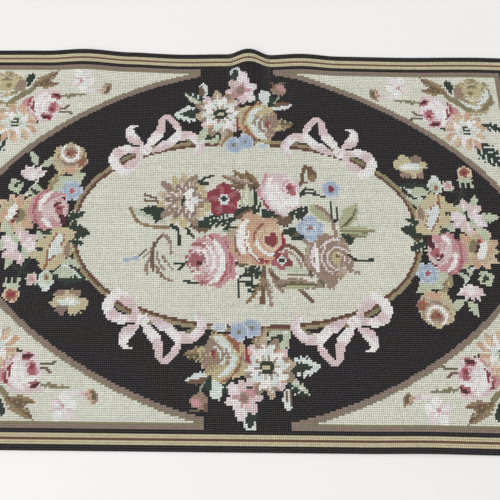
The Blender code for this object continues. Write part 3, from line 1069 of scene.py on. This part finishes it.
def canvas_sheet():
    """The canvas itself, closed round its edges."""
    along = np.linspace(-END + CANVAS_INSET, END - CANVAS_INSET, CANVAS_GRID[0])
    up = np.linspace(-EDGE + CANVAS_INSET, EDGE - CANVAS_INSET, CANVAS_GRID[1])
    places, faces, flat = slab(*np.meshgrid(along, up), CANVAS_HEIGHTS)
    return build("canvas_sheet", places, faces, flat, smooth_faces=False)


def turned_margins():
    """The four margins of the canvas, turned under and mitred at the corners."""
    places, faces, flat = [], [], []
    count = 0
    for turned, (length, reach) in enumerate(((END, EDGE), (EDGE, END)) * 2):
        run, across = np.meshgrid(np.linspace(-1, 1, HEM_STEPS), (0.0, 0.5, 1.0))
        inward = HEM_INSET + across * HEM
        x, y = run * (length - inward), -(reach - inward)
        for _ in range(turned):
            x, y = -y, x
        strip_places, strip_faces, strip_flat = slab(x, y, HEM_HEIGHTS)
        places.append(strip_places)
        faces.append(strip_faces + count)
        flat.append(strip_flat)
        count += len(strip_places)
    return build("turned_margins", np.vstack(places), np.vstack(faces), np.vstack(flat), smooth_faces=False)


class Term:
    """A socket of a material's shader tree that can be reckoned with like a number."""

    def __init__(self, tree, socket):
        self.tree = tree
        self.socket = socket

    def maths(self, operation, first, second):
        return self.tree.term("ShaderNodeMath", {"operation": operation}, {0: first, 1: second})

    def __add__(self, other):
        return self.maths("ADD", self, other)

    def __mul__(self, other):
        return self.maths("MULTIPLY", self, other)

    __radd__ = __add__
    __rmul__ = __mul__


class ShaderTree:
    """A new material and the nodes that lead to its surface."""

    def __init__(self, name):
        self.material = bpy.data.materials.new(name)
        self.material.use_nodes = True
        self.nodes = self.material.node_tree.nodes
        self.links = self.material.node_tree.links
        self.surface = self.nodes["Principled BSDF"].inputs

    def put(self, socket, value):
        if isinstance(value, Term):
            self.links.new(value.socket, socket)
        else:
            socket.default_value = value

    def term(self, kind, settings=None, values=None, output=0):
        node = self.nodes.new(kind)
        for name, value in (settings or {}).items():
            setattr(node, name, value)
        for name, value in (values or {}).items():
            self.put(node.inputs[name], value)
        return Term(self, node.outputs[output])


# Painted shade: the canvas between the stitches is given a darker colour than its own, so that the gaps
# look shaded
CANVAS_PAINTED_SHADE_COLOUR = (86, 80, 76)  # in the shade between the stitches
MARGIN_COLOUR = (196, 182, 152)
FIBRES = (700, 3200, 1500)  # fine across the stitch and longer along it


def wool_material():
    tree = ShaderTree("wool yarn")
    place = tree.term("ShaderNodeTexCoord", output="Object")
    turned = tree.term(
        "ShaderNodeMapping",
        None,
        {"Vector": place, "Rotation": (0, 0, -SLANT), "Scale": FIBRES},
    )
    fibre = tree.term("ShaderNodeTexNoise", None, {"Vector": turned, "Scale": 1.0, "Detail": 3.0})
    patchy = tree.term("ShaderNodeTexNoise", None, {"Vector": place, "Scale": 14.0, "Detail": 2.0})
    yarn = tree.term("ShaderNodeAttribute", {"attribute_name": "yarn"}, output="Color")
    bright = 0.84 + fibre * 0.20 + patchy * 0.12
    colour = tree.term("ShaderNodeVectorMath", {"operation": "SCALE"}, {"Vector": yarn, "Scale": bright})
    tree.put(tree.surface["Base Color"], colour)
    tree.put(tree.surface["Roughness"], 0.82 + fibre * 0.16)
    bump = tree.term("ShaderNodeBump", None, {"Strength": 0.35, "Distance": 0.0004, "Height": fibre})
    tree.put(tree.surface["Normal"], bump)
    tree.surface["Sheen Weight"].default_value = 0.05
    tree.surface["Specular IOR Level"].default_value = 0.15
    return tree.material


def canvas_material(name, colour):
    tree = ShaderTree(name)
    place = tree.term("ShaderNodeTexCoord", output="Object")
    threads = tree.term("ShaderNodeTexNoise", None, {"Vector": place, "Scale": 900.0, "Detail": 2.0})
    shade = tree.term(
        "ShaderNodeVectorMath",
        {"operation": "SCALE"},
        {"Vector": tuple(linear(colour)), "Scale": 0.75 + threads * 0.5},
    )
    tree.put(tree.surface["Base Color"], shade)
    bump = tree.term("ShaderNodeBump", None, {"Strength": 0.4, "Distance": 0.0003, "Height": threads})
    tree.put(tree.surface["Normal"], bump)
    tree.surface["Roughness"].default_value = 0.9
    return tree.material


def add_material(material, *objects):
    for obj in objects:
        obj.data.materials.append(material)


def panel():
    """The whole panel: its canvas, and the stitches of each part of the design."""
    chart = work_chart()
    worked = []
    for n, part in enumerate(PARTS):
        name = part.replace(" ", "_") + "_stitches"
        worked.append(stitches(name, chart, chart.part == n, STITCH_POINTS, STITCH_FACES, n))
    within = np.abs(chart.across) < COLUMNS / 2 - REVERSE_EDGE
    within &= np.abs(chart.up) < ROWS / 2 - REVERSE_EDGE
    reverse = stitches("reverse_stitches", chart, within, REVERSE_POINTS, REVERSE_FACES, REVERSE_SEED)
    worked.append(reverse)
    canvas, margins = canvas_sheet(), turned_margins()
    add_material(wool_material(), *worked)
    add_material(canvas_material("canvas painted as shade between stitches", CANVAS_PAINTED_SHADE_COLOUR), canvas)
    add_material(canvas_material("canvas margins", MARGIN_COLOUR), margins)
    for piece in (*worked, margins, canvas):
        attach(piece, "root")
    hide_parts("needlepoint_panel")


def floor():
    tree = ShaderTree("pale floor")
    tree.surface["Base Color"].default_value = (0.86, 0.855, 0.85, 1)
    tree.surface["Roughness"].default_value = 0.9
    bpy.ops.mesh.primitive_plane_add(size=12)
    plane = bpy.context.object
    plane.name = "floor"
    add_material(tree.material, plane)


def studio_light():
    scene = bpy.context.scene
    scene.view_settings.view_transform = "Standard"
    world = bpy.data.worlds.new("soft studio")
    world.use_nodes = True
    background = world.node_tree.nodes["Background"].inputs
    background["Color"].default_value = (1, 0.99, 0.98, 1)
    background["Strength"].default_value = 0.58
    scene.world = world
    for name, place, size, power in (
        ("window side", (-1.6, -1.0, 2.2), 2.0, 38),
        ("far side", (1.4, 1.6, 2.4), 2.2, 24),
    ):
        lamp = bpy.data.lights.new(name, "AREA")
        lamp.size = size
        lamp.energy = power
        light = bpy.data.objects.new(name, lamp)
        light.location = place
        light.rotation_euler = (-Vector(place)).to_track_quat("-Z", "Y").to_euler()
        scene.collection.objects.link(light)


# Where the camera is held, how it is tilted, in degrees, and its lens, in millimetres
CAMERA_PLACE = (0.0006, -0.1652, 0.6030)
CAMERA_TILT = (12.85, -0.78, 0.74)
LENS = 30
FILM_WIDTH = 36


def camera():
    lens = bpy.data.cameras.new("camera")
    lens.lens = LENS
    lens.sensor_width = FILM_WIDTH
    seen_from = bpy.data.objects.new("camera", lens)
    seen_from.location = CAMERA_PLACE
    seen_from.rotation_euler = [math.radians(angle) for angle in CAMERA_TILT]
    bpy.context.scene.collection.objects.link(seen_from)
    bpy.context.scene.camera = seen_from


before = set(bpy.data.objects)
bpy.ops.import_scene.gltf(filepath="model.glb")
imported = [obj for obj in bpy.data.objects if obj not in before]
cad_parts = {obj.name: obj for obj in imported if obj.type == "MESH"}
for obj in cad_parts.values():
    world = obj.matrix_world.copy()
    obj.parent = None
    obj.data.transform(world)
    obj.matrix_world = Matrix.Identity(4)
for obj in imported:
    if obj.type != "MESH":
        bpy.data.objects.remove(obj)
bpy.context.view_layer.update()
panel()
floor()
studio_light()
camera()
